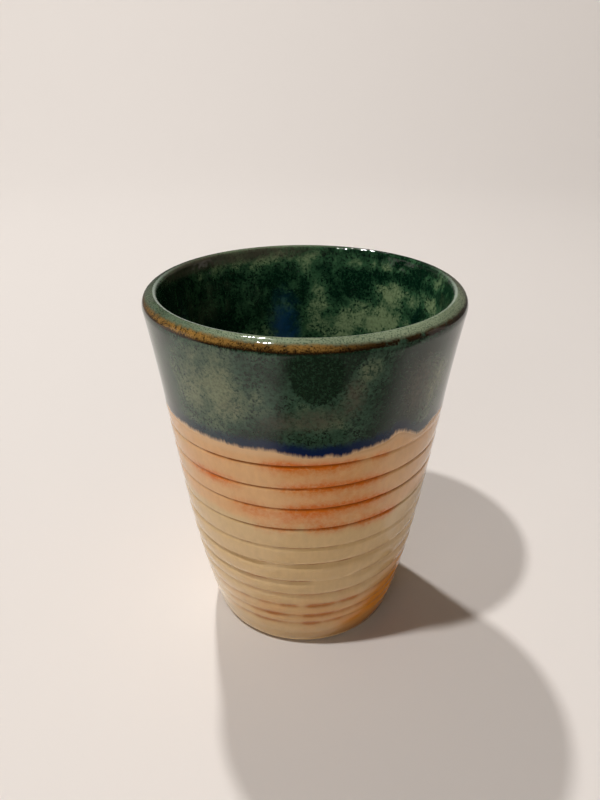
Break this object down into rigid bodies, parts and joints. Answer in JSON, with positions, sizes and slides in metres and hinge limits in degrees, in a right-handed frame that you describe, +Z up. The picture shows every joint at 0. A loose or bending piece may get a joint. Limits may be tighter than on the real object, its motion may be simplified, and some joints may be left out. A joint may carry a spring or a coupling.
{
  "type": "stoneware tumbler",
  "caption": "Hand-thrown stoneware tumbler without a handle, with a spiral throwing line on the cream lower wall and a green dipped rim; holds a drink and stands on its foot.",
  "frame": {"origin": "centre of the foot on the surface that the cup stands on", "axes": "+Z up along the cup's axis, -Y towards the front as pictured, +X to the right"},
  "size_m": [0.0846, 0.0846, 0.1007],
  "materials": {
    "stoneware": "fired stoneware clay, unglazed and matt on the foot",
    "cream_glaze": "glossy cream glaze that breaks rust along the groove",
    "green_dip_glaze": "glossy mottled green dip glaze with a blue lower edge",
    "green_liner_glaze": "glossy mottled dark green liner glaze"
  },
  "bodies": {
    "root": {"stoneware_body": "stoneware", "cream_glaze": "cream_glaze", "dip_glaze": "green_dip_glaze", "liner_glaze": "green_liner_glaze"}
  },
  "joints": []
}
